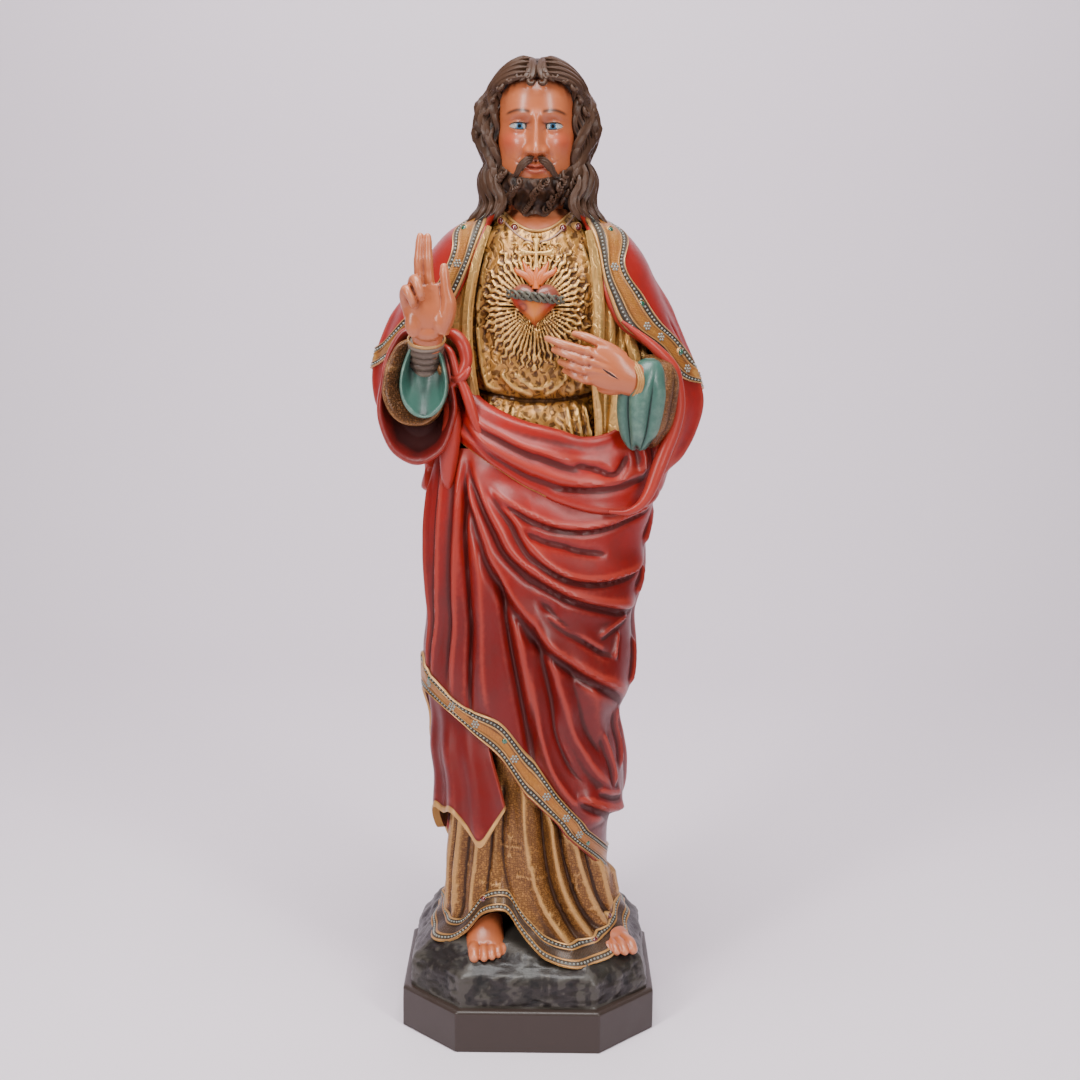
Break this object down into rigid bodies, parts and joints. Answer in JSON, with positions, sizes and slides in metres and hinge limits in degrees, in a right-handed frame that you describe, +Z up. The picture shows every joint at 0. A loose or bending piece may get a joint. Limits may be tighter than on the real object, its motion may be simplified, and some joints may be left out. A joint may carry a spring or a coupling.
{
  "type": "painted plaster devotional statue",
  "caption": "Standing robed plaster figure with a raised hand, heart relief on the breast and jewelled mantle borders, cast with its rock and cut-cornered plinth; stands by its own weight.",
  "frame": {"origin": "centre of the plinth's flat underside", "axes": "+Z up through the crown, the figure faces -Y, its left hand is on the +X side"},
  "size_m": [0.4325, 0.348, 1.297],
  "materials": {
    "painted_plaster": "oil-painted and gilt plaster, satin varnish",
    "green_glass": "polished cabochon, foil-backed",
    "red_glass": "polished cabochon, foil-backed"
  },
  "bodies": {
    "root": {"figure": "painted_plaster", "cape_stone_1": "green_glass", "cape_stone_2": "green_glass", "cape_stone_3": "green_glass", "cape_stone_4": "green_glass", "border_stone_1": "green_glass", "border_stone_2": "green_glass", "border_stone_3": "green_glass", "border_stone_4": "green_glass", "border_stone_5": "green_glass", "hem_stone_1": "red_glass", "hem_stone_2": "red_glass", "hem_stone_3": "red_glass", "collar_stone_1": "red_glass", "collar_stone_2": "red_glass", "collar_stone_3": "red_glass", "collar_stone_4": "red_glass"}
  },
  "joints": []
}
